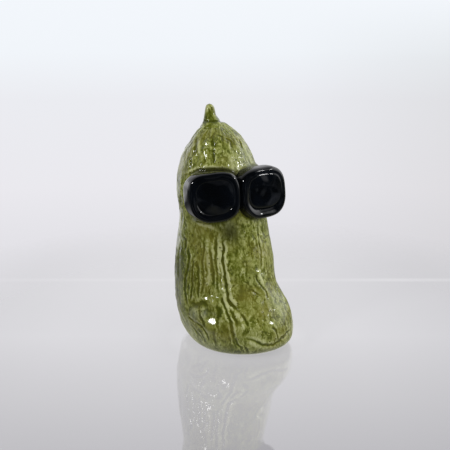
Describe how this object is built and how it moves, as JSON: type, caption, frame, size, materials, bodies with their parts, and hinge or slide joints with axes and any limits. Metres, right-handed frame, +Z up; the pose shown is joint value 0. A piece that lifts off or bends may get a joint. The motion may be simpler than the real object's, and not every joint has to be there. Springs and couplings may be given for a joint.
{
  "type": "ceramic pickle figurine",
  "caption": "Small glazed ceramic pickle that stands on its blunt end, with a stem on its crown and black sunglasses on its head; a table or shelf ornament.",
  "frame": {"origin": "middle of the flat foot that the figurine stands on", "axes": "+Z up along the pickle to its stem; -Y the way the sunglasses face; +X towards the wearer's left"},
  "size_m": [0.0426, 0.0499, 0.0899],
  "materials": {
    "green_glaze": "gloss",
    "black_glaze": "gloss"
  },
  "bodies": {
    "root": {"body_shell": "green_glaze", "stem": "green_glaze", "sunglasses_frame": "black_glaze", "lens_right": "black_glaze", "lens_left": "black_glaze"}
  },
  "joints": []
}
